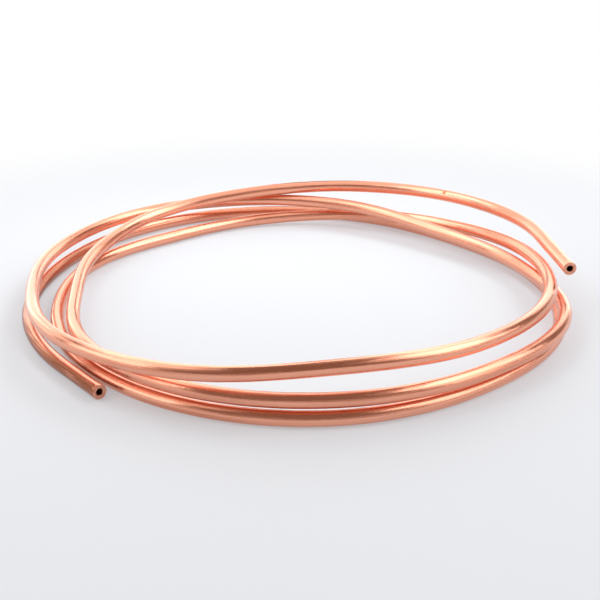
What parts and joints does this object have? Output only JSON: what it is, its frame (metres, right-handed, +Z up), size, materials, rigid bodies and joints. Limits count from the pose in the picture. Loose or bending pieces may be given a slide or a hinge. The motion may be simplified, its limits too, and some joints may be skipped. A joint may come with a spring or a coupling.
{
  "type": "copper tube coil",
  "caption": "Loose coil of bright thick-walled copper tube with two free, open cut ends, raw stock for small fluid and gas lines.",
  "frame": {"origin": "centre of the coil's outline, on the floor that it lies on", "axes": "+Z up from the floor, +X across the coil toward its upper free end, +Y to the coil's back"},
  "size_m": [0.1638, 0.159, 0.0173],
  "materials": {
    "copper": "bright drawn, satin"
  },
  "bodies": {
    "root": {"copper_tube": "copper"}
  },
  "joints": []
}
